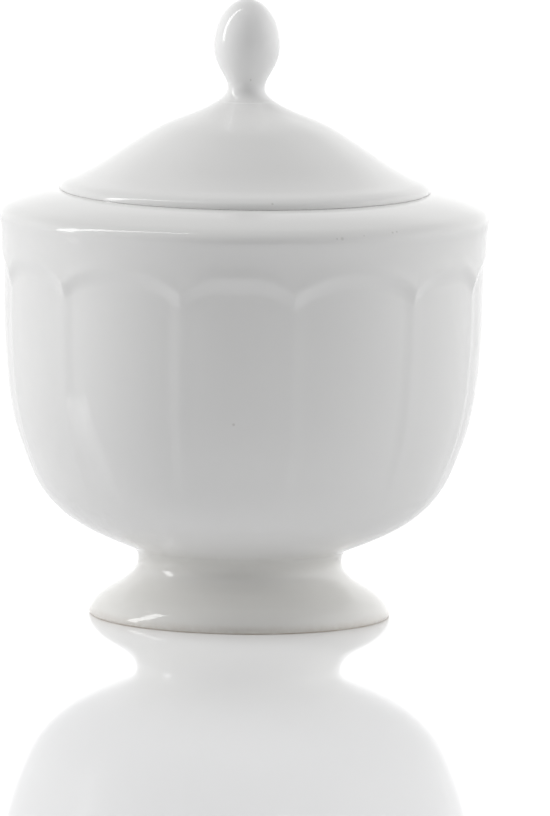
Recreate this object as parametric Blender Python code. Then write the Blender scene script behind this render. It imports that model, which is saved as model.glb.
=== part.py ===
"""Covered sugar bowl on a pedestal foot, in glazed white porcelain.

Four castings make two loose pieces: the pedestal foot is luted under the bowl, and the knob is
luted on the lid. The lid rests in the bowl's mouth and lifts straight off.

Metres, +Z up. The origin is on the table, at the centre of the foot ring, and the front is -Y.
Outlines are (radius, height) points in millimetres.
"""

import math

import bmesh
import bpy
from mathutils import Vector

MM = 0.001

# Driving dimensions, in millimetres.
SHOULDER_R = 52.8       # widest radius, at the shoulder's rounded edge
FOOT_R = 32.4           # foot ring
NECK_R = 22.1           # narrowest radius, where the foot is luted on
MOUTH_R = 34.5          # opening in the shoulder
LID_R = 40.0            # lid rim
TOP_Z = 133.4           # tip of the knob
SEAM = 0.3              # gap that stands for a luted or a resting contact

NECK_Z = 11.65          # top of the foot casting
SEAT_Z = 92.2           # flat ring that the lid rests on
EDGE_Z = 86.25          # shoulder's widest point
LID_Z = SEAT_Z + SEAM   # underside of the lid's rim
KNOB_Z = 111.3          # flat on the lid that carries the knob
FLANGE_R = 33.7         # outside of the lid's locating flange
FLANGE_Z = 87.4         # bottom of the flange

# The bowl's side has narrow and wide arched panels in turn, with a soft rib on each border.
# Depths are measured inward from the plain round body.
PANEL_PAIRS = 6
NARROW_HALF = math.radians(13.5)    # from a narrow panel's centre to its ribs' crests
PAIR_TURN = 2 * math.pi / PANEL_PAIRS
RIB_HALF = math.radians(4.0)        # half of a rib's width
RIB_DEPTH = 0.76                    # at a rib's crest
NARROW_DEPTH = (0.88, 0.80)         # at a narrow panel's edges and in its middle
WIDE_DEPTH = (1.06, 0.60)           # at a wide panel's edges and in its middle
CUSP_Z = 75.7                       # where two arches meet, on a rib
ARCH_RISE = (3.5, 4.1)              # from there to the crown of a narrow and of a wide arch
ARCH_BEND = (0.72, 0.86)            # share of the half width over which each of them rises
ARCH_BEVEL = 4.2                    # height over which a panel's top fades out
FLUTE_FADE = (25.0, 37.0)           # the panels fade in between these heights

ROUND_STEPS = 48        # flats round the foot and the lid

BOWL_COLOUR = (0.82, 0.82, 0.80, 1.0)
LID_COLOUR = (0.84, 0.84, 0.83, 1.0)
GLAZE_ROUGHNESS = 0.08


def clear_scene():
    for item in list(bpy.data.objects):
        bpy.data.objects.remove(item, do_unlink=True)


def smooth_step(low, high, value):
    t = min(1.0, max(0.0, (value - low) / (high - low)))
    return t * t * (3 - 2 * t)


def curve_through(points, steps):
    """Catmull-Rom curve through outline points, with a number of steps for each span."""
    ends = [points[0]] + list(points) + [points[-1]]
    path = []
    for a, b, c, d in zip(ends, ends[1:], ends[2:], ends[3:]):
        for i in range(steps):
            t = i / steps
            weights = (-t + 2 * t**2 - t**3, 2 - 5 * t**2 + 3 * t**3, t + 4 * t**2 - 3 * t**3, t**3 - t**2)
            path.append(tuple(0.5 * sum(w * p[k] for w, p in zip(weights, (a, b, c, d))) for k in (0, 1)))
    path.append(points[-1])
    return path


def round_corner(centre, radius, start, end, steps):
    """Round arc of an outline, from one angle to another in degrees."""
    turns = [math.radians(start + (end - start) * i / steps) for i in range(steps + 1)]
    return [(centre[0] + radius * math.cos(t), centre[1] + radius * math.sin(t)) for t in turns]


# --- the fluted side --------------------------------------------------------------------------

def panel_position(angle):
    """The panel at an angle from the front: whether it's narrow, its half width and the offset."""
    offset = (angle + NARROW_HALF) % PAIR_TURN - NARROW_HALF
    if offset <= NARROW_HALF:
        return True, NARROW_HALF, offset
    return False, PAIR_TURN / 2 - NARROW_HALF, offset - PAIR_TURN / 2


def panel_depth(angle):
    """Depth of the panels and the ribs between them, halfway up the side."""
    narrow, half, offset = panel_position(angle)
    edge, middle = NARROW_DEPTH if narrow else WIDE_DEPTH
    across = abs(offset) / half
    panel = edge + (middle - edge) * (1 - across**2)
    return RIB_DEPTH + (panel - RIB_DEPTH) * smooth_step(0, RIB_HALF, half - abs(offset))


def arch_top(angle):
    """Height of a panel's arched top: level in the middle, falling to a cusp on each rib."""
    narrow, half, offset = panel_position(angle)
    kind = 0 if narrow else 1
    short = max(0.0, 1 - (half - abs(offset)) / (ARCH_BEND[kind] * half))
    return CUSP_Z + ARCH_RISE[kind] * (1 - short**2)


def flute_recess(angle, height):
    """How far the surface is sunk below the plain round body."""
    top = arch_top(angle)
    over = 1 - smooth_step(top - ARCH_BEVEL, top, height)
    return panel_depth(angle) * over * smooth_step(*FLUTE_FADE, height)


def plain_recess(angle, height):
    return 0.0


# --- meshes -----------------------------------------------------------------------------------

def even_angles(count):
    return [2 * math.pi * i / count for i in range(count)]


def flute_angles():
    """Angles for the bowl: each rib's crest and sides, and a few points across each panel."""
    narrow_side = NARROW_HALF - RIB_HALF
    wide_side = PAIR_TURN / 2 - NARROW_HALF - RIB_HALF
    across_narrow = [narrow_side * x for x in (-1, 0, 1)]
    across_wide = [PAIR_TURN / 2 + wide_side * x for x in (-1, -0.5, 0, 0.5, 1)]
    pair = [-NARROW_HALF] + across_narrow + [NARROW_HALF] + across_wide
    return [PAIR_TURN * k + a for k in range(PANEL_PAIRS) for a in pair]


def lathe(name, outline, angles, colour, closed=False, recess=plain_recess):
    """Turn an outline of (radius, height, fluted) round the Z axis into one closed solid.

    A point at radius 0 is a pole. A closed outline is a ring that has no poles.
    """
    mesh = bmesh.new()
    rings = []
    for radius, height, fluted in outline:
        if radius == 0:
            rings.append([mesh.verts.new((0, 0, height * MM))])
            continue
        ring = []
        for angle in angles:
            r = radius - (recess(angle, height) if fluted else 0.0)
            ring.append(mesh.verts.new(Vector((math.sin(angle) * r, -math.cos(angle) * r, height)) * MM))
        rings.append(ring)
    following = rings[1:] + rings[:1] if closed else rings[1:]
    for low, high in zip(rings, following):
        for i in range(len(angles)):
            j = (i + 1) % len(angles)
            if len(low) == 1:
                mesh.faces.new((low[0], high[j], high[i]))
            elif len(high) == 1:
                mesh.faces.new((low[i], low[j], high[0]))
            else:
                mesh.faces.new((low[i], low[j], high[j], high[i]))
    for face in mesh.faces:
        face.smooth = True
    data = bpy.data.meshes.new(name)
    mesh.to_mesh(data)
    mesh.free()
    data.materials.append(glaze(name + "_glaze", colour))
    item = bpy.data.objects.new(name, data)
    bpy.context.scene.collection.objects.link(item)
    return item


def glaze(name, colour):
    material = bpy.data.materials.new(name)
    material.use_nodes = True
    shader = material.node_tree.nodes["Principled BSDF"]
    shader.inputs["Base Color"].default_value = colour
    shader.inputs["Roughness"].default_value = GLAZE_ROUGHNESS
    shader.inputs["Metallic"].default_value = 0.0
    return material


def plain(points):
    return [(r, z, False) for r, z in points]


def loose_piece(name, height, castings):
    """Empty on the Z axis that carries the castings fired into one loose piece."""
    empty = bpy.data.objects.new(name, None)
    empty.location = (0, 0, height * MM)
    bpy.context.scene.collection.objects.link(empty)
    for casting in castings:
        casting.location = (0, 0, -height * MM)
        casting.parent = empty


# --- the four castings ------------------------------------------------------------------------

def body_radius(height):
    """Outside of the plain round body at a height between the neck and the band."""
    belly = curve_through([
        (NECK_R, NECK_Z + SEAM), (22.2, 13.4), (25.3, 15.5), (31.9, 18.4), (37.9, 22.0), (42.8, 27.0),
        (46.7, 34.0), (49.8, 43.0), (51.45, 54.0), (52.1, 65.0), (52.2, 74.0), (52.2, 81.0), (52.4, 84.0),
    ], 8)
    for (r0, z0), (r1, z1) in zip(belly, belly[1:]):
        if z0 <= height <= z1:
            return r0 + (r1 - r0) * (height - z0) / (z1 - z0)
    return belly[-1][0]


def make_bowl():
    base_z = NECK_Z + SEAM
    panels_z = 71.0         # the rows stand closer together above this height, for the arches
    rows = 10
    spread = 1.7            # and below it they get closer towards the neck
    heights = [base_z + (panels_z - base_z) * (i / rows)**spread for i in range(rows + 1)]
    heights += [73.2, 75.3, 77.4, 79.2, 81.0, 84.0]
    side = [(body_radius(z), z, True) for z in heights]
    shoulder = [
        (SHOULDER_R - 0.03, EDGE_Z - 0.45), (SHOULDER_R, EDGE_Z), (52.35, 87.75), (51.4, 88.65), (49.2, 89.75),
        (46.0, 90.85), (42.3, 91.72), (40.6, SEAT_Z),
    ]
    lip = 0.9               # bevel above and below the mouth
    seat = [(MOUTH_R + lip, SEAT_Z), (MOUTH_R, SEAT_Z - lip), (MOUTH_R, 89.3), (MOUTH_R + lip, 88.4)]
    inside_floor_z = 16.9
    inside = [
        (41.0, 87.3), (45.4, 84.6), (46.8, 79.0), (46.6, 66.0), (45.0, 50.0), (41.6, 36.5),
        (36.0, 27.2), (28.5, 21.2), (18.0, 17.8), (0, inside_floor_z),
    ]
    outline = plain([(0, base_z)]) + side + plain(shoulder + seat + inside)
    return lathe("bowl", outline, flute_angles(), BOWL_COLOUR, recess=flute_recess)


def make_pedestal_foot():
    ring_inner = 29.3       # the bare ring that stands on the table
    ring_outer = FOOT_R - 0.5
    outside = [
        (FOOT_R, 0.8), (31.95, 2.0), (30.9, 3.4), (29.0, 5.1), (26.2, 6.8), (23.8, 8.6), (22.5, 10.2),
        (NECK_R, NECK_Z),
    ]
    inside = [
        (18.6, NECK_Z), (19.2, 9.2), (21.4, 6.6), (25.0, 3.9), (28.3, 1.3), (ring_inner, 0.0),
    ]
    outline = plain([(ring_outer, 0.0)] + outside + inside)
    return lathe("pedestal_foot", outline, even_angles(ROUND_STEPS), BOWL_COLOUR, closed=True)


def make_lid():
    wall = 2.6
    bevel = 0.6             # on the flange's lower edges
    edge = 0.5              # rounding of the rim's lower edge
    hollow_z = 107.2
    inner_r = FLANGE_R - wall
    underside = [
        (8.0, 106.6), (17.0, 103.0), (24.0, 99.0), (29.0, 95.4), (inner_r, 92.4), (inner_r, FLANGE_Z + bevel),
    ]
    flange = [(inner_r + bevel, FLANGE_Z), (FLANGE_R - bevel, FLANGE_Z), (FLANGE_R, FLANGE_Z + bevel)]
    rim = [(FLANGE_R, LID_Z)] + round_corner((LID_R - edge, LID_Z + edge), edge, -90, 0, 3)
    dome = [
        (39.5, 93.65), (38.0, 94.5), (34.2, 96.15), (28.0, 99.95), (21.5, 104.1), (17.2, 106.5), (12.0, 108.5),
        (8.2, 110.1), (6.6, KNOB_Z),
    ]
    outline = plain([(0, hollow_z)] + underside + flange + rim + dome + [(0, KNOB_Z)])
    return lathe("lid", outline, even_angles(ROUND_STEPS), LID_COLOUR)


def make_lid_knob():
    outside = [
        (5.9, KNOB_Z + SEAM), (4.5, 112.8), (4.0, 114.5), (4.6, 116.3), (5.9, 118.6), (6.95, 121.2),
        (7.15, 124.0), (6.7, 127.0), (5.6, 129.6), (3.9, 131.7), (2.0, 133.0),
    ]
    outline = plain([(0, KNOB_Z + SEAM)] + outside + [(0, TOP_Z)])
    return lathe("lid_knob", outline, even_angles(ROUND_STEPS // 2), LID_COLOUR)


def main():
    clear_scene()
    loose_piece("bowl_piece", 0.0, [make_bowl(), make_pedestal_foot()])
    loose_piece("lid_piece", SEAT_Z, [make_lid(), make_lid_knob()])


main()
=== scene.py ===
"""Looks for the covered sugar bowl: glazed white porcelain on a glossy white table.

Every piece is turned round the Z axis from an outline of (radius, height) points in millimetres,
and stands in for the CAD node of the same casting. Heights that matter come from the frame.
"""

import math

import bpy
import numpy as np
from mathutils import Matrix, Vector


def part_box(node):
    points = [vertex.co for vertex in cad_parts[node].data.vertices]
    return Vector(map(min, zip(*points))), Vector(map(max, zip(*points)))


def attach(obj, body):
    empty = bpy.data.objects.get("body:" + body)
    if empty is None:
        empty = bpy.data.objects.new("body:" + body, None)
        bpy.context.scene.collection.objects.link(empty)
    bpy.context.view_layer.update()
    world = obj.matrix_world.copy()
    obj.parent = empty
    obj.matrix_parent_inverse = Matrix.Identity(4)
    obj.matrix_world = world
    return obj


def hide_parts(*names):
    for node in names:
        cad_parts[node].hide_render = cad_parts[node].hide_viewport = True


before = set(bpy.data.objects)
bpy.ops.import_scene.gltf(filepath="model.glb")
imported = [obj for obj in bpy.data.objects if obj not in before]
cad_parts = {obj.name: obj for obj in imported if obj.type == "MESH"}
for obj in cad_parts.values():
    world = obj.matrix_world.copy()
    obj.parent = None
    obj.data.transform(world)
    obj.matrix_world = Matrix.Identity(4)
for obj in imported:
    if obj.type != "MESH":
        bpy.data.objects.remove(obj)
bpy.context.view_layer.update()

MM = 0.001
TAU = 2 * math.pi


def box_mm(node):
    """Outer radius, lowest and highest point of a CAD node, in millimetres."""
    low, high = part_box(node)
    return max(high.x, -low.x) / MM, low.z / MM, high.z / MM


SHOULDER_R, BOWL_Z, SEAT_Z = box_mm("bowl")
FOOT_R, TABLE_Z, NECK_Z = box_mm("pedestal_foot")
LID_R, FLANGE_Z, _ = box_mm("lid")
_, KNOB_Z, TOP_Z = box_mm("lid_knob")
SEAM = BOWL_Z - NECK_Z                  # the CAD leaves this gap for a luted joint
CREASE_Z = (BOWL_Z + NECK_Z) / 2        # where the bowl is luted on its foot
JOIN_Z = KNOB_Z - SEAM / 2              # where the knob is luted on the lid
EDGE_Z = 86.25                          # the shoulder's widest point
CORE_R = 21.6                           # inner edge of the hidden ring where bowl and foot meet

# The bowl's side has narrow and wide arched panels in turn, with a soft rib on each border.
# Depths are measured inward from the plain round body.
PAIRS = 6
PAIR_TURN = TAU / PAIRS
NARROW_HALF = math.radians(13.5)        # from a narrow panel's centre to its ribs' crests
RIB_HALF = math.radians(4.0)            # half of a rib's width
RIB_DEPTH = 0.76                        # at a rib's crest
NARROW_DEPTH = (0.88, 0.80)             # at a panel's edges and in its middle
WIDE_DEPTH = (1.06, 0.60)
CUSP_Z = 75.7                           # where two arches meet, on a rib
ARCH_RISE = (3.5, 4.1)                  # from there to the crown of a narrow and of a wide arch
ARCH_BEND = (0.72, 0.86)                # share of the half width over which each of them rises
ARCH_BEVEL = 4.2                        # height over which a panel's top fades out
BEAD = (0.11, 1.1)                      # soft bead along the arches: rise and half width
FLUTE_FADE = (25.0, 37.0)               # the panels fade in between these heights
FOOT_BARE_Z = 0.3                       # the foot is unglazed below this height


# --- outlines ---------------------------------------------------------------------------------

def smooth_curve(points, step):
    """Natural cubic spline through outline points, sampled about every step millimetres."""
    p = np.array(points, float)
    gaps = np.hypot(*np.diff(p, axis=0).T)
    t = np.concatenate([[0], np.cumsum(gaps)])
    n = len(p)
    system = np.eye(n)
    target = np.zeros((n, 2))
    for i in range(1, n - 1):
        system[i, i - 1:i + 2] = gaps[i - 1], 2 * (gaps[i - 1] + gaps[i]), gaps[i]
        target[i] = 6 * ((p[i + 1] - p[i]) / gaps[i] - (p[i] - p[i - 1]) / gaps[i - 1])
    bend = np.linalg.solve(system, target)
    s = np.linspace(0, t[-1], max(2, round(t[-1] / step)) + 1)
    k = np.clip(np.searchsorted(t, s, side="right") - 1, 0, n - 2)
    h = gaps[k][:, None]
    a = (t[k + 1] - s)[:, None] / h
    b = 1 - a
    return a * p[k] + b * p[k + 1] + ((a**3 - a) * bend[k] + (b**3 - b) * bend[k + 1]) * h**2 / 6


def corner(centre, radius, start, end, steps):
    """Round arc of an outline, from one angle to another in degrees."""
    turns = np.radians(np.linspace(start, end, steps + 1))
    return np.stack([centre[0] + radius * np.cos(turns), centre[1] + radius * np.sin(turns)], 1)


def resample(curve, heights):
    """The outline's points at given heights. The outline has to rise all the way."""
    return np.stack([np.interp(heights, curve[:, 1], curve[:, 0]), heights], 1)


# --- the fluted side --------------------------------------------------------------------------

def smooth_step(low, high, value):
    t = np.clip((value - low) / (high - low), 0, 1)
    return t * t * (3 - 2 * t)


def panel(angle):
    """Half width of the panel at an angle, the offset from its middle, and if it is narrow."""
    offset = (angle + NARROW_HALF) % PAIR_TURN - NARROW_HALF
    narrow = offset <= NARROW_HALF
    half = np.where(narrow, NARROW_HALF, PAIR_TURN / 2 - NARROW_HALF)
    return half, np.where(narrow, offset, offset - PAIR_TURN / 2), narrow


def panel_depth(angle):
    half, offset, narrow = panel(angle)
    across = np.clip(np.abs(offset) / half, 0, 1)
    beside = smooth_step(0, RIB_HALF, half - np.abs(offset))
    edge = np.where(narrow, NARROW_DEPTH[0], WIDE_DEPTH[0])
    middle = np.where(narrow, NARROW_DEPTH[1], WIDE_DEPTH[1])
    return RIB_DEPTH + (edge + (middle - edge) * (1 - across**2) - RIB_DEPTH) * beside


def arch_top(angle):
    half, offset, narrow = panel(angle)
    short = np.clip(1 - (half - np.abs(offset)) / (np.where(narrow, *ARCH_BEND) * half), 0, 1)
    return CUSP_Z + np.where(narrow, *ARCH_RISE) * (1 - short**2)


def flutes(angle, height):
    """How far the surface is sunk below the plain round body."""
    top = arch_top(angle)
    over = 1 - smooth_step(top - ARCH_BEVEL, top, height)
    bead = BEAD[0] * np.exp(-0.5 * ((height - top) / BEAD[1])**2)
    return panel_depth(angle) * over * smooth_step(*FLUTE_FADE, height) - bead


# --- meshes -----------------------------------------------------------------------------------

def even_angles(count):
    return np.arange(count) * TAU / count


def flute_angles():
    """Angles that are close together on the ribs and the arches' corners."""
    rib_end, bend_end = 5.0, 11.0       # degrees in from a rib's crest

    def half_panel(half, flats):
        rib = np.radians(np.arange(0, rib_end, 0.5))
        bend = np.radians(np.arange(rib_end, bend_end, 0.75))
        return np.concatenate([rib, bend, np.linspace(math.radians(bend_end), half, flats)])

    narrow, wide = half_panel(NARROW_HALF, 3), half_panel(PAIR_TURN / 2 - NARROW_HALF, 5)
    crest = NARROW_HALF
    pair = np.concatenate([-crest + narrow[:-1], crest - narrow[:0:-1],
                           crest + wide[:-1], PAIR_TURN - crest - wide[:0:-1]])
    return np.concatenate([pair + PAIR_TURN * k for k in range(PAIRS)])


def turned(name, outline, angles, materials, fluted=None, bare=None, closed=False):
    """Turn an outline round the Z axis. fluted and bare are true for the rows they apply to."""
    outline = np.array(outline, float)
    rows = len(outline)
    fluted = np.zeros(rows, bool) if fluted is None else np.array(fluted, bool)
    bare = np.zeros(rows, bool) if bare is None else np.array(bare, bool)
    verts, starts = [], []
    for (radius, height), cut in zip(outline, fluted):
        starts.append(sum(len(v) for v in verts))
        if radius == 0:
            verts.append(np.array([[0, 0, height]]))
            continue
        r = radius - (flutes(angles, height) if cut else 0 * angles)
        verts.append(np.stack([np.sin(angles) * r, -np.cos(angles) * r, np.full(len(angles), height)], 1))
    count = len(angles)
    i = np.arange(count)
    j = (i + 1) % count
    faces, slots = [], []
    following = list(range(1, rows)) + ([0] if closed else [])
    for low, high in zip(range(rows), following):
        a, b = starts[low], starts[high]
        if outline[low][0] == 0:
            quads = [(a, b + y, b + x) for x, y in zip(i, j)]
        elif outline[high][0] == 0:
            quads = [(a + x, a + y, b) for x, y in zip(i, j)]
        else:
            quads = np.stack([a + i, a + j, b + j, b + i], 1).tolist()
        faces += quads
        slots += [int(bare[low] and bare[high])] * count
    mesh = bpy.data.meshes.new(name)
    mesh.from_pydata((np.concatenate(verts) * MM).tolist(), [], faces)
    mesh.update()
    mesh.polygons.foreach_set("use_smooth", np.ones(len(faces), bool))
    mesh.polygons.foreach_set("material_index", slots)
    for material in materials:
        mesh.materials.append(material)
    item = bpy.data.objects.new(name, mesh)
    bpy.context.scene.collection.objects.link(item)
    return item


def stands_for(item, node, body):
    """The piece rides on a body and takes the place of one of its CAD nodes, which is hidden."""
    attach(item, body)
    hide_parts(node)


# The foot's outside runs on past the luted joint into the bowl's.
FOOT_CURVE = [(29.0, 5.1), (27.6, 5.95), (26.2, 6.8), (24.8, 7.7), (23.75, 8.6), (23.0, 9.4), (22.45, 10.25)]
NECK_CURVE = [(22.1, 11.1), (22.0, 11.9), (22.05, 12.8), (22.45, 13.7)]
BELLY_FOOT = [(23.4, 14.55), (25.4, 15.5), (28.3, 16.7)]


def side_radius(height):
    side = smooth_curve(FOOT_CURVE[-3:] + NECK_CURVE + BELLY_FOOT, 0.1)
    return np.interp(height, side[:, 1], side[:, 0])


def build_bowl(glaze, bisque):
    side = smooth_curve([
        *FOOT_CURVE[-3:], *NECK_CURVE, *BELLY_FOOT, (32.2, 18.5),
        (37.9, 22.0), (42.8, 27.0), (46.75, 34.0), (49.8, 43.0), (51.45, 54.0), (52.1, 65.0), (52.2, 74.0),
        (52.2, 79.0), (52.22, 81.3), (52.36, 83.2), (52.6, 84.9), (52.76, 85.8), (SHOULDER_R, EDGE_Z),
    ], 0.1)
    side = side[side[:, 1] > CREASE_Z + 0.03]
    # Rows stand closest together over the arches.
    belly_z, arches_z, band_z = 26.6, 71.0, 83.2
    low = np.concatenate([[(side_radius(CREASE_Z), CREASE_Z)], side[side[:, 1] < belly_z - 0.6][2::6]])
    high = resample(side, np.concatenate([
        np.arange(belly_z, arches_z, 0.9), np.arange(arches_z, band_z - 0.2, 0.34),
        np.linspace(band_z, EDGE_Z - 0.05, 9),
    ]))
    rim = smooth_curve([
        (SHOULDER_R, EDGE_Z), (52.72, 87.0), (52.35, 87.75), (51.6, 88.5), (50.2, 89.3), (48.0, 90.2),
        (46.0, 90.88), (44.0, 91.44), (42.6, 91.78), (41.6, 91.98), (40.8, 92.1), (40.1, 92.15),
    ], 0.35)
    mouth_r, floor_z = 34.5, 16.9
    seat = np.array([(39.75, SEAT_Z - 0.01), (39.5, SEAT_Z), (37.5, SEAT_Z), (mouth_r + 1.2, SEAT_Z)])
    bevel = 0.9
    lip = corner((mouth_r + bevel, SEAT_Z - bevel), bevel, 90, 180, 5)
    inside = smooth_curve([
        (mouth_r, SEAT_Z - bevel), (mouth_r, 89.4), (35.6, 88.3), (41.0, 87.1), (45.2, 84.4), (46.8, 79.0),
        (46.7, 66.0), (45.1, 50.0), (41.6, 36.5), (36.0, 27.2), (28.5, 21.2), (18.0, 17.8), (8.0, floor_z),
        (-8.0, floor_z),
    ], 2.4)
    inside = inside[inside[:, 0] > 2.0]     # the curve runs level through the axis
    outline = np.concatenate([
        [(0, CREASE_Z), (CORE_R, CREASE_Z)], low, high, rim, seat, lip, inside[1:],
        [(0, floor_z)],
    ])
    row = np.arange(len(outline))
    side_end = 2 + len(low) + len(high)
    fluted = (row < side_end) & (outline[:, 1] < band_z + 1.8)
    seat_start = side_end + len(rim)
    bare = (row >= seat_start) & (row < seat_start + len(seat))
    item = turned("bowl_glazed", outline, flute_angles(), [glaze, bisque], fluted, bare)
    sharpen_join(item, CREASE_Z)
    stands_for(item, "bowl", "bowl")


def build_foot(glaze, bisque):
    outside = smooth_curve([
        (31.85, TABLE_Z), (32.2, 0.13), (32.38, 0.45), (FOOT_R, 0.85), (32.25, 1.45), (31.75, 2.35),
        (31.05, 3.3), (30.15, 4.2), *FOOT_CURVE, *NECK_CURVE, *BELLY_FOOT,
    ], 0.1)
    outside = outside[outside[:, 1] < CREASE_Z]
    lip_rows = 12                       # all of them stay on the foot's lip, and one in four above
    outside = np.concatenate([outside[:lip_rows], outside[lip_rows:-3:4]])
    top_r = side_radius(CREASE_Z)
    inside = smooth_curve([
        (18.6, 11.6), (19.2, 9.2), (21.4, 6.6), (25.0, 3.9), (28.3, 1.3), (29.3, TABLE_Z),
    ], 1.0)
    outline = np.concatenate([outside, [(top_r, CREASE_Z), (CORE_R, CREASE_Z), (18.6, CREASE_Z)], inside])
    bare = outline[:, 1] < FOOT_BARE_Z
    item = turned("foot_glazed", outline, flute_angles(), [glaze, bisque], bare=bare, closed=True)
    sharpen_join(item, CREASE_Z)
    stands_for(item, "pedestal_foot", "bowl")


def build_lid(glaze, bisque):
    """The lid and its knob share one outline, cut where the knob is luted on."""
    rim_z = SEAT_Z + 0.01               # the glazed rim all but touches the shoulder
    outside = smooth_curve([
        (LID_R - 0.02, rim_z), (LID_R, rim_z + 0.25), (39.93, 92.8), (39.68, 93.32), (39.1, 93.87),
        (38.0, 94.5), (36.2, 95.2), (34.2, 96.15), (31.1, 97.9), (28.0, 99.95), (24.7, 102.1), (21.5, 104.1),
        (17.8, 106.2), (13.6, 107.95), (10.4, 109.15), (8.1, 110.2), (6.45, 111.15), (5.15, 112.1),
        (4.3, 113.2), (4.02, 114.3), (4.2, 115.4), (4.9, 116.8), (5.85, 118.5), (6.7, 120.5),
        (7.12, 122.6), (7.15, 124.2), (6.9, 126.3), (6.3, 128.2), (5.35, 130.0), (4.1, 131.5),
        (2.6, 132.65), (1.3, 133.2), (0, TOP_Z), (-1.3, 133.2),
    ], 0.1)
    outside = outside[outside[:, 0] > 0.15]
    inner_r, flange_r, bevel = 31.1, 33.7, 0.5
    hollow = smooth_curve([
        (-8.0, 106.6), (0, 107.2), (8.0, 106.6), (17.0, 103.0), (24.0, 99.0), (28.9, 95.4), (inner_r, 92.2),
        (inner_r, FLANGE_Z + bevel),
    ], 1.2)
    hollow = hollow[hollow[:, 0] > 0.6]
    tongue = np.concatenate([
        corner((inner_r + bevel, FLANGE_Z + bevel), bevel, 180, 270, 4),
        corner((flange_r - bevel, FLANGE_Z + bevel), bevel, 270, 360, 4),
        [(flange_r, FLANGE_Z + 2.0), (flange_r, rim_z - 0.3), (flange_r + 0.3, rim_z), (36.0, rim_z),
         (39.6, rim_z)],
    ])
    dome = outside[outside[:, 1] < JOIN_Z]
    knob = outside[outside[:, 1] >= JOIN_Z]
    rim_end = 94.5                      # the rim's rows stand closer together than the dome's
    rim_rows, dome_rows = dome[dome[:, 1] < rim_end][::2], dome[dome[:, 1] >= rim_end][::7]
    meeting = [np.interp(JOIN_Z, outside[:, 1], outside[:, 0]), JOIN_Z]
    outline = np.concatenate([
        [(0, 107.2)], hollow, tongue, rim_rows, dome_rows, [meeting], [(4.0, JOIN_Z), (0, JOIN_Z)],
    ])
    bare = np.zeros(len(outline), bool)
    tongue_end = len(hollow) + len(tongue)
    bare[tongue_end - 6:tongue_end] = True      # from the flange's side to just inside the rim
    lid = turned("lid_glazed", outline, even_angles(240), [glaze, bisque], bare=bare)
    sharpen_join(lid, JOIN_Z)
    sharpen_join(lid, rim_z)
    stands_for(lid, "lid", "lid")
    outline = np.concatenate([[(0, JOIN_Z), (4.0, JOIN_Z), meeting], knob[::5], [(0, TOP_Z)]])
    knob = turned("knob_glazed", outline, even_angles(96), [glaze])
    sharpen_join(knob, JOIN_Z)
    stands_for(knob, "lid_knob", "lid")


def sharpen_join(item, height):
    """The hidden faces where two castings meet don't bend the shading of the glaze outside."""
    mesh = item.data
    z = height * MM
    flat = {p.index for p in mesh.polygons if all(abs(mesh.vertices[v].co.z - z) < 1e-6 for v in p.vertices)}
    shared = {}
    for p in mesh.polygons:
        for key in p.edge_keys:
            shared.setdefault(key, []).append(p.index in flat)
    for edge in mesh.edges:
        sides = shared[edge.key]
        edge.use_edge_sharp = len(sides) == 2 and sides[0] != sides[1]


# --- materials --------------------------------------------------------------------------------

class Nodes:
    """Short calls for building a material's node tree."""

    def __init__(self, name):
        self.material = bpy.data.materials.new(name)
        self.material.use_nodes = True
        self.tree = self.material.node_tree
        self.shader = self.tree.nodes["Principled BSDF"]

    def put(self, value, socket):
        if isinstance(value, bpy.types.NodeSocket):
            self.tree.links.new(value, socket)
        else:
            socket.default_value = value

    def add(self, kind, sockets, out=0, **settings):
        node = self.tree.nodes.new(kind)
        for key, value in settings.items():
            setattr(node, key, value)
        for key, value in sockets.items():
            self.put(value, node.inputs[key])
        return node.outputs[out]

    def place(self):
        return self.add("ShaderNodeTexCoord", {}, "Object")

    def noise(self, where, scale, detail=2.0, roughness=0.5, distortion=0.0):
        return self.add("ShaderNodeTexNoise", {
            "Vector": where, "Scale": scale, "Detail": detail, "Roughness": roughness,
            "Distortion": distortion,
        })

    def ramp(self, value, low, high, out_low, out_high):
        return self.add("ShaderNodeMapRange", {
            "Value": value, "From Min": low, "From Max": high, "To Min": out_low, "To Max": out_high,
        }, interpolation_type="SMOOTHSTEP")

    def math(self, operation, a, b=0.0):
        return self.add("ShaderNodeMath", {0: a, 1: b}, operation=operation)

    def blend(self, factor, a, b):
        return self.add("ShaderNodeMix", {"Factor": factor, 6: a, 7: b}, 2, data_type="RGBA")

    def bump(self, height, distance, strength, below=None):
        sockets = {"Height": height, "Distance": distance, "Strength": strength}
        if below is not None:
            sockets["Normal"] = below
        return self.add("ShaderNodeBump", sockets)


def tint(r, g, b):
    return (r, g, b, 1.0)


# Small faults in the glaze: angle from the front in degrees, radius, height and size in millimetres.
GLAZE_MARKS = {
    "body": [
        (-0.5, 49.9, 47.5, 0.34), (24.7, 52.5, 87.3, 0.42), (23.4, 52.5, 87.3, 0.24), (30.5, 52.3, 87.7, 0.2),
        (38.6, 52.1, 88.0, 0.3), (39.9, 52.0, 88.1, 0.26), (148.0, 51.0, 58.0, 0.36),
        (-140.0, 52.4, 87.5, 0.3),
    ],
    "lid": [(10.0, 39.6, 93.5, 0.3), (205.0, 26.0, 101.2, 0.34), (12.0, 4.6, 116.2, 0.22)],
}


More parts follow.
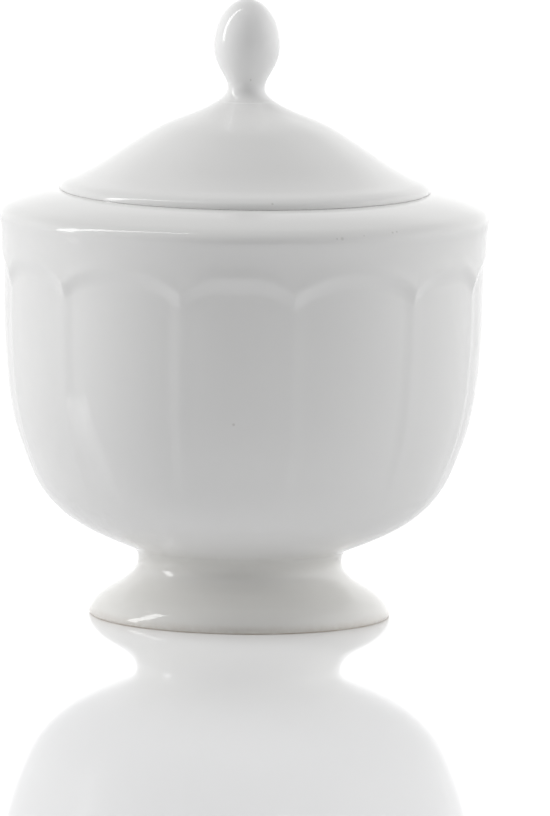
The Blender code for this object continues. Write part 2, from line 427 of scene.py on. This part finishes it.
def porcelain_glaze(name, white, marks):
    """Clear gloss glaze over white porcelain: faint clouding, a warmer and slightly darker neck, pinholes and
    ripple.
    """
    n = Nodes(name)
    where = n.place()
    height = n.add("ShaderNodeSeparateXYZ", {"Vector": where}, "Z")
    cloud = n.noise(where, 26.0, 3.0, 0.55, 0.6)
    dull, clear = white - 0.013, white + 0.013
    colour = n.blend(cloud, tint(dull, dull, dull - 0.006), tint(clear, clear - 0.002, white))
    # The knob is painted whiter: a painted glow that stands in for light shining through its thin porcelain
    # and flaring round it.
    knob_glow = n.ramp(height, 0.1085, 0.115, 0.0, 0.8)
    colour = n.blend(knob_glow, colour, tint(0.97, 0.97, 0.967))
    # Slightly darker and warmer round the neck, and warmer towards the foot.
    low = n.ramp(height, 0.0095, 0.0125, 0.0, 1.0)
    high = n.ramp(height, 0.0125, 0.0165, 1.0, 0.0)
    neck_tint = n.math("MULTIPLY", n.math("MULTIPLY", low, high), 0.6)
    colour = n.blend(neck_tint, colour, tint(0.84, 0.832, 0.79))
    warm = n.ramp(height, 0.004, 0.022, 0.75, 0.0)
    colour = n.blend(warm, colour, tint(0.862, 0.852, 0.818))
    # At the foot's rim it is painted browner: partly the warmer body through thinning glaze, partly painted
    # contact shadow along the table.
    rim_brown_and_shade = n.math("MULTIPLY", n.ramp(height, 0.0002, 0.0024, 1.0, 0.0), n.noise(where, 420.0, 3.0, 0.6))
    colour = n.blend(rim_brown_and_shade, colour, tint(0.66, 0.61, 0.55))
    # Iron specks, far apart.
    speck = n.tree.nodes.new("ShaderNodeTexVoronoi")
    n.put(where, speck.inputs["Vector"])
    speck.inputs["Scale"].default_value = 95.0
    rare = n.ramp(n.add("ShaderNodeSeparateColor", {"Color": speck.outputs["Color"]}), 0.965, 0.97, 0.0, 1.0)
    spot = n.ramp(speck.outputs["Distance"], 0.012, 0.03, 1.0, 0.0)
    colour = n.blend(n.math("MULTIPLY", n.math("MULTIPLY", rare, spot), 0.5), colour, tint(0.36, 0.33, 0.29))
    pits = None
    for turn, radius, z, size in marks:
        angle = math.radians(turn)
        spot_at = (radius * math.sin(angle) * MM, -radius * math.cos(angle) * MM, z * MM)
        off = n.add("ShaderNodeVectorMath", {0: where, 1: spot_at}, "Value", operation="DISTANCE")
        pit = n.ramp(off, 0.5 * size * MM, 1.2 * size * MM, 1.0, 0.0)
        pits = pit if pits is None else n.math("MAXIMUM", pits, pit)
    colour = n.blend(n.math("MULTIPLY", pits, 0.45), colour, tint(0.55, 0.54, 0.52))
    n.put(colour, n.shader.inputs["Base Color"])
    n.put(n.ramp(n.noise(where, 48.0, 4.0, 0.6), 0.3, 0.7, 0.045, 0.085), n.shader.inputs["Roughness"])
    n.shader.inputs["IOR"].default_value = 1.5
    # The turned body shows through as a slow unevenness, and the glaze adds a fine orange peel.
    slow = n.bump(n.noise(where, 30.0, 1.0, 0.4), 0.00035, 0.22)
    peel = n.bump(n.noise(where, 260.0, 2.0, 0.5), 0.00003, 0.18, slow)
    n.put(n.bump(n.math("SUBTRACT", 1.0, pits), 0.00008, 0.5, peel), n.shader.inputs["Normal"])
    return n.material


def bare_porcelain():
    """Unglazed, ground porcelain where a piece stands or rests: matt and finely gritty, its brown-grey partly
    its own warmer tone and dirt and partly painted contact shadow on the table.
    """
    n = Nodes("bare_porcelain")
    where = n.place()
    stain = n.noise(where, 160.0, 5.0, 0.65)
    # Brown-grey: the bare body's own tone and dirt, darkened further as painted contact shadow along the
    # table.
    colour = n.blend(n.ramp(stain, 0.3, 0.7, 0.0, 1.0), tint(0.60, 0.53, 0.45), tint(0.74, 0.70, 0.64))
    n.put(colour, n.shader.inputs["Base Color"])
    n.put(n.ramp(stain, 0.3, 0.7, 0.88, 0.7), n.shader.inputs["Roughness"])
    grit = n.bump(n.noise(where, 2400.0, 3.0, 0.7), 0.00006, 0.6)
    n.put(grit, n.shader.inputs["Normal"])
    return n.material


# --- studio -----------------------------------------------------------------------------------

VIEW_TURN = math.radians(1.5)           # the camera stands this far to the right of the front
TABLE_HALF = 6.0                        # metres
TABLE_GLOW = 0.100


def table_top():
    """Glossy white acrylic, lit faintly from underneath."""
    h = TABLE_HALF
    mesh = bpy.data.meshes.new("table_top")
    mesh.from_pydata([(-h, -h, 0), (h, -h, 0), (h, h, 0), (-h, h, 0)], [], [(0, 1, 2, 3)])
    n = Nodes("table_white")
    where = n.place()
    n.put(n.blend(n.noise(where, 3.0), tint(0.855, 0.858, 0.87), tint(0.87, 0.873, 0.882)),
          n.shader.inputs["Base Color"])
    smear = n.noise(where, 9.0, 4.0, 0.6, 1.5)
    n.put(n.ramp(smear, 0.3, 0.7, 0.03, 0.06), n.shader.inputs["Roughness"])
    n.shader.inputs["IOR"].default_value = 1.5
    n.shader.inputs["Emission Color"].default_value = (1, 1, 1, 1)
    n.shader.inputs["Emission Strength"].default_value = TABLE_GLOW
    mesh.materials.append(n.material)
    item = bpy.data.objects.new("table_top", mesh)
    bpy.context.scene.collection.objects.link(item)


STRIP_WATTS = 5.4
STRIP_SIZE = (0.12, 2.6)                # metres
STRIP_AT = (-0.62, 0.0, 1.42)
# An area light shines along its own -Z. This turns that to +X and its long side upright.
FACING_RIGHT = Matrix(((0, 0, -1, 0), (-1, 0, 0, 0), (0, 1, 0, 0), (0, 0, 0, 1)))


def strip_light():
    """Tall narrow softbox on the left."""
    data = bpy.data.lights.new("left_strip", "AREA")
    data.shape = "RECTANGLE"
    data.size, data.size_y = STRIP_SIZE
    data.energy = STRIP_WATTS
    item = bpy.data.objects.new("left_strip", data)
    turn = Matrix.Rotation(VIEW_TURN, 4, "Z")
    item.matrix_world = turn @ Matrix.Translation(STRIP_AT) @ FACING_RIGHT
    item.visible_camera = False
    bpy.context.scene.collection.objects.link(item)


# Brightness round the studio: each row goes from behind the object, by its left, front and right,
# to behind it again. The last row is overhead.
RINGS = [
    [1.42, 0.91, 1.23, 0.51, 0.00, 0.50, 1.58, 1.46],
    [1.08, 1.00, 1.32, 0.51, 0.00, 0.62, 1.81, 1.55],
    [0.63, 0.65, 0.87, 0.41, 0.00, 0.39, 1.10, 0.89],
    [0.34, 0.36, 0.51, 0.49, 0.38, 0.49, 0.61, 0.42],
    [0.44],
]
RING_HEIGHTS = [4, 24, 46, 70, 90]      # degrees above the table
WORLD_STRENGTH = 4.0


def studio_world():
    world = bpy.data.worlds.new("studio")
    bpy.context.scene.world = world
    world.use_nodes = True
    tree = world.node_tree
    tree.nodes.clear()

    def add(kind, **values):
        node = tree.nodes.new(kind)
        for key, value in values.items():
            setattr(node, key, value)
        return node

    def math_node(operation, a, b=None):
        node = add("ShaderNodeMath", operation=operation)
        for socket, value in zip(node.inputs, (a, b)):
            if value is None:
                continue
            if isinstance(value, (int, float)):
                socket.default_value = value
            else:
                tree.links.new(value, socket)
        return node.outputs[0]

    where = add("ShaderNodeTexCoord").outputs["Generated"]
    split = add("ShaderNodeSeparateXYZ")
    tree.links.new(where, split.inputs[0])
    x, y, z = split.outputs
    around = math_node("ARCTAN2", x, math_node("MULTIPLY", y, -1.0))
    around = math_node("ADD", math_node("MULTIPLY", around, 1 / TAU), 0.5)
    height = math_node("MULTIPLY", math_node("ARCSINE", z), 360 / TAU)
    mixed = None
    for k, row in enumerate(RINGS):
        ramp = add("ShaderNodeValToRGB", name=f"ring_{k}")
        ramp.color_ramp.interpolation = "LINEAR"
        stops = row + [row[0]]
        marks = ramp.color_ramp.elements
        while len(marks) < len(stops):
            marks.new(0.5)
        for i, value in enumerate(stops):
            marks[i].position = i / (len(stops) - 1)
            marks[i].color = (*[value / WORLD_STRENGTH] * 3, 1)
        tree.links.new(around, ramp.inputs[0])
        if mixed is None:
            mixed = ramp.outputs[0]
            continue
        share = add("ShaderNodeMapRange", interpolation_type="SMOOTHSTEP")
        tree.links.new(height, share.inputs["Value"])
        share.inputs["From Min"].default_value = RING_HEIGHTS[k - 1]
        share.inputs["From Max"].default_value = RING_HEIGHTS[k]
        mix = add("ShaderNodeMix", data_type="RGBA")
        tree.links.new(share.outputs[0], mix.inputs["Factor"])
        tree.links.new(mixed, mix.inputs[6])
        tree.links.new(ramp.outputs[0], mix.inputs[7])
        mixed = mix.outputs[2]
    background = add("ShaderNodeBackground")
    background.inputs["Strength"].default_value = WORLD_STRENGTH
    tree.links.new(mixed, background.inputs["Color"])
    tree.links.new(background.outputs[0], add("ShaderNodeOutputWorld").inputs["Surface"])


CAMERA_AT = (0, -3.220, 0.458)
AIM_AT = (0.0071, 0, 0.0448)
CAMERA_ROLL = math.radians(0.8)
FOCAL_PIXELS, IMAGE_HEIGHT = 15070, 816


def place_camera():
    """Long lens from just above, a little to the right of the front."""
    turn = Matrix.Rotation(VIEW_TURN, 3, "Z")
    eye = turn @ Vector(CAMERA_AT)
    aim = turn @ Vector(AIM_AT)
    forward = (aim - eye).normalized()
    right = forward.cross(Vector((0, 0, 1))).normalized()
    up = right.cross(forward)
    along, across = math.cos(CAMERA_ROLL), math.sin(CAMERA_ROLL)
    right, up = right * along + up * across, up * along - right * across
    data = bpy.data.cameras.new("camera")
    data.lens = FOCAL_PIXELS / IMAGE_HEIGHT * data.sensor_width
    data.clip_start, data.clip_end = 0.05, 60
    camera = bpy.data.objects.new("camera", data)
    camera.matrix_world = Matrix.Translation(eye) @ Matrix([right, up, -forward]).transposed().to_4x4()
    bpy.context.scene.collection.objects.link(camera)
    bpy.context.scene.camera = camera


BODY_GLAZE = porcelain_glaze("porcelain_glaze_body", 0.85, GLAZE_MARKS["body"])
LID_GLAZE = porcelain_glaze("porcelain_glaze_lid", 0.885, GLAZE_MARKS["lid"])
BISQUE = bare_porcelain()
build_bowl(BODY_GLAZE, BISQUE)
build_foot(BODY_GLAZE, BISQUE)
build_lid(LID_GLAZE, BISQUE)
table_top()
strip_light()
studio_world()
place_camera()
bpy.context.scene.view_settings.view_transform = "Standard"
